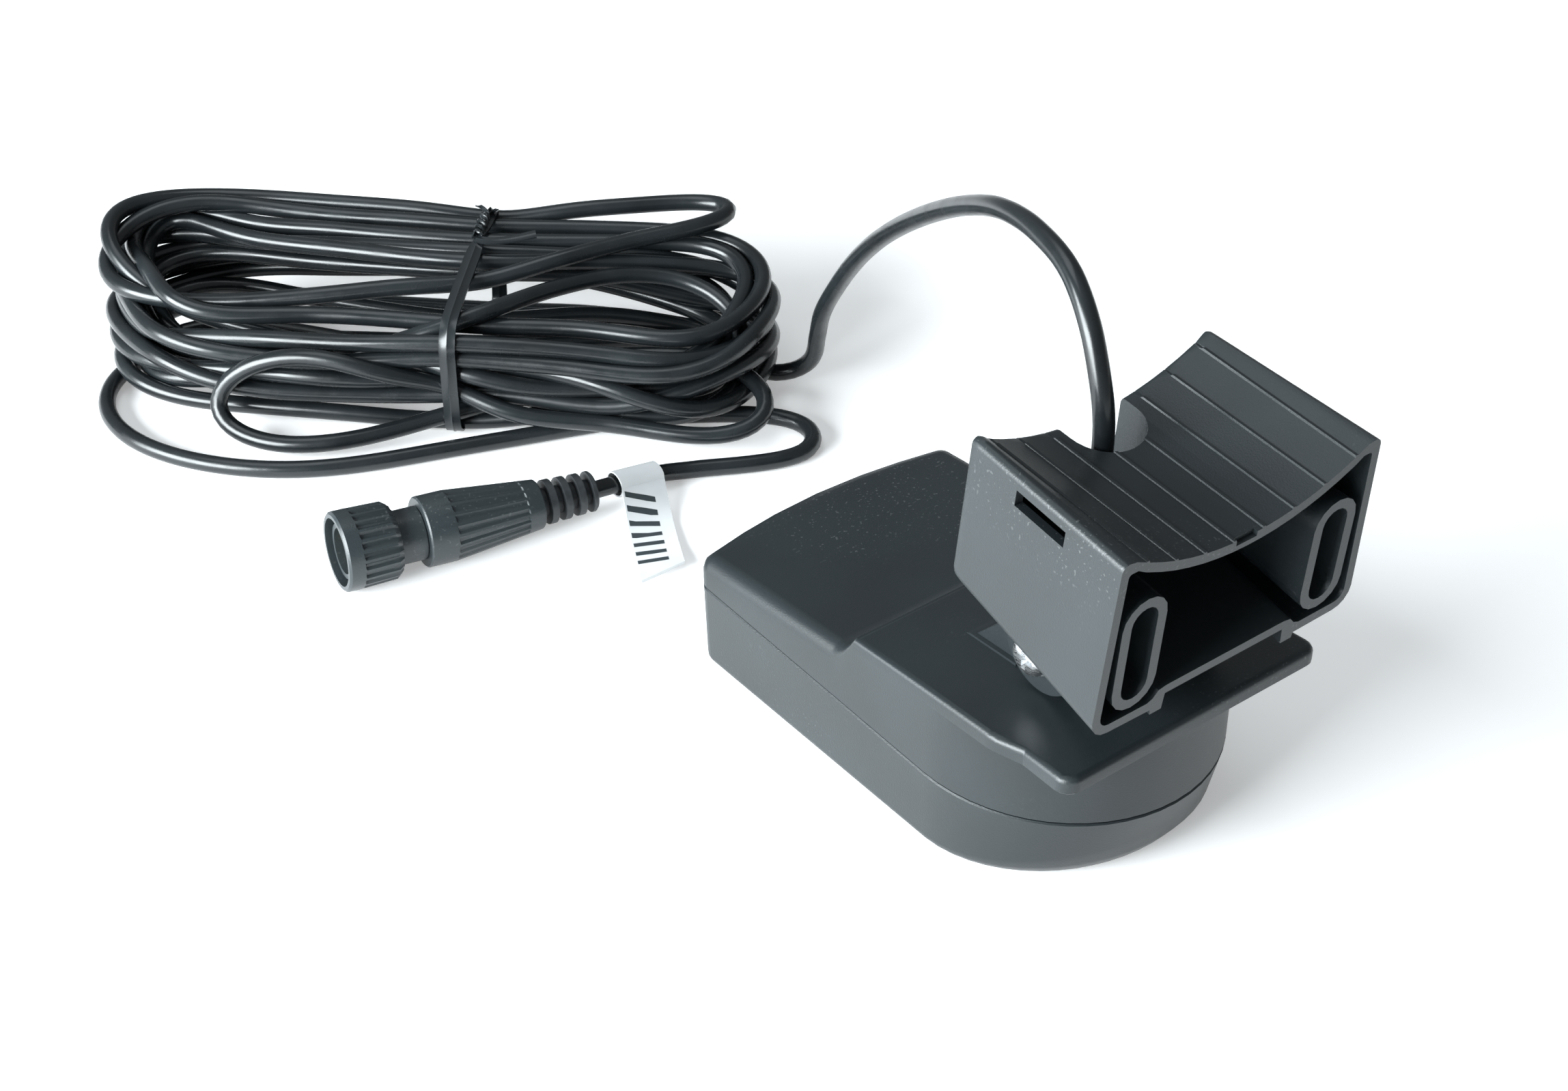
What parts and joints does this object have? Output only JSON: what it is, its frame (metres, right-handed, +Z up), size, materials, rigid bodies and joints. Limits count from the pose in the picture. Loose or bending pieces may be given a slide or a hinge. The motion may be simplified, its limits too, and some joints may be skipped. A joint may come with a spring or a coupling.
{
  "type": "fish finder transducer with trolling motor saddle and cable",
  "caption": "Oval sonar transducer under a tilting open-front saddle bracket, with a cable that arches to a tied hank and ends in a round plug with a fluted turning collar.",
  "frame": {"origin": "on the plane that the transducer and cable lie on, midway between the transducer's sides and midway fore and aft over the transducer with its saddle", "axes": "+X across the transducer along its tilt bolt, +Y from its nose to its tail, +Z up"},
  "size_m": [0.1804, 0.3834, 0.1411],
  "materials": {
    "black_plastic": "satin moulded nylon with fine texture",
    "black_cable": "smooth glossy PVC jacket",
    "steel": "bright plated screw and washers",
    "brass": "plain contact metal",
    "white_tag": "plain white film label",
    "ceramic": "fired ceramic disc",
    "cork": "cork backing",
    "resin": "cast potting resin",
    "rubber": "soft moulded rubber",
    "red_lead": "insulated lead",
    "grey_lead": "insulated lead"
  },
  "bodies": {
    "transducer": {"transducer_lower_shell": "black_plastic", "transducer_upper_shell": "black_plastic", "cable_gland": "black_cable", "piezo_disc": "ceramic", "cork_backing": "cork", "resin_fill": "resin", "signal_lead": "red_lead", "return_lead": "grey_lead", "tilt_bolt": "steel", "head_washer": "steel", "nut_washer": "steel", "tilt_nut": "steel", "plug_barrel": "black_plastic", "plug_backshell": "black_plastic", "strain_relief": "rubber", "plug_seal": "rubber", "cable_arch": "black_cable", "cable_tail": "black_cable", "cable_hank": "black_cable", "hank_tie": "black_cable", "cable_tag": "white_tag", "contact_pin_1": "brass", "contact_pin_2": "brass", "contact_pin_3": "brass", "contact_pin_4": "brass", "contact_pin_5": "brass"},
    "bracket": {"saddle_bracket": "black_plastic"},
    "collar": {"coupling_collar": "black_plastic"}
  },
  "joints": [
    {"name": "bracket_tilt", "type": "hinge", "parent": "transducer", "child": "bracket", "pos_m": [0, -0.03572, 0.0596], "axis": [1, 0, 0], "range_deg": [-3, 18]},
    {"name": "collar_turn", "type": "hinge", "parent": "transducer", "child": "collar", "pos_m": [-0.09796, 0.152, 0.0114], "axis": [0.9805, -0.1906, -0.0489], "continuous": true}
  ]
}
